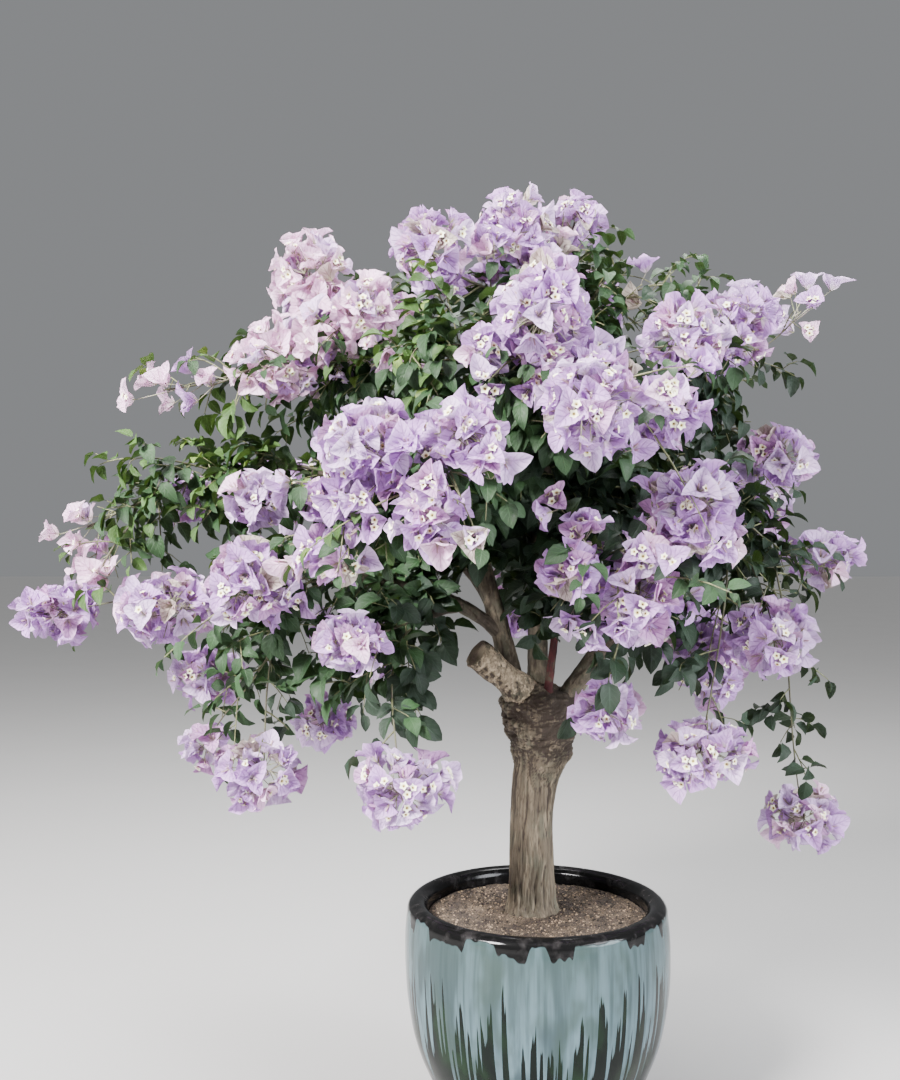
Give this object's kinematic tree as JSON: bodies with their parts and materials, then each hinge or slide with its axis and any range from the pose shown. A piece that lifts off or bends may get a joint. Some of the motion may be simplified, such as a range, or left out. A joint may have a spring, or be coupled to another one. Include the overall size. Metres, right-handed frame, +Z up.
{
  "type": "potted bougainvillea standard",
  "caption": "Bougainvillea trained as a small standard tree, with a swollen trunk head, arching boughs and heads of pale lilac bracts, in an egg-shaped glazed pot.",
  "frame": {"origin": "middle of the pot's flat underside", "axes": "+Z up, the front of the plant towards -Y, +X to its right as seen from the front"},
  "size_m": [1.4653, 1.1869, 1.6047],
  "materials": {
    "glaze": "glossy pale blue-grey drip glaze over near-black, on a ceramic pot",
    "soil": "damp granular potting mix",
    "bark": "corky grey-brown fissured bark",
    "young_bark": "smooth brown bark of younger boughs",
    "red_bark": "dark red bark of a young shoot",
    "foliage": "leaves, dark and slightly glossy, brighter where young",
    "bloom": "papery lilac bracts round small cream flowers, among leaves"
  },
  "bodies": {
    "root": {"back_bough": "young_bark", "back_left_arm": "young_bark", "back_left_low": "bloom", "back_left_mid": "bloom", "back_left_top": "bloom", "back_low": "bloom", "back_mid": "bloom", "back_right_arm": "young_bark", "back_right_low": "bloom", "back_right_mid": "bloom", "back_right_top": "bloom", "back_top": "bloom", "centre_upright": "young_bark", "crown_left": "bloom", "crown_right": "bloom", "crown_top": "bloom", "far_left": "bloom", "far_left_upper": "bloom", "front_arm": "young_bark", "front_centre": "bloom", "front_hang": "bloom", "front_leafy": "foliage", "front_left": "bloom", "front_left_arm": "young_bark", "front_left_low": "bloom", "front_mid": "bloom", "front_top": "bloom", "inner_hang": "bloom", "inner_right": "foliage", "left_arm": "young_bark", "left_back_low": "bloom", "left_front_low": "bloom", "left_hang": "bloom", "left_low_arm": "young_bark", "left_slope": "bloom", "left_tip": "bloom", "left_top": "bloom", "left_under": "bloom", "left_upright": "young_bark", "low_left_bough": "young_bark", "pot": "glaze", "red_shoot": "red_bark", "right_bough": "young_bark", "right_far_top": "bloom", "right_front": "bloom", "right_front_arm": "young_bark", "right_front_low": "bloom", "right_hang": "bloom", "right_low": "bloom", "right_mid": "bloom", "right_out": "bloom", "right_top": "bloom", "right_under": "bloom", "right_upper_arm": "young_bark", "soil": "soil", "stub_bough": "young_bark", "top_left": "bloom", "trunk": "bark"}
  },
  "joints": []
}
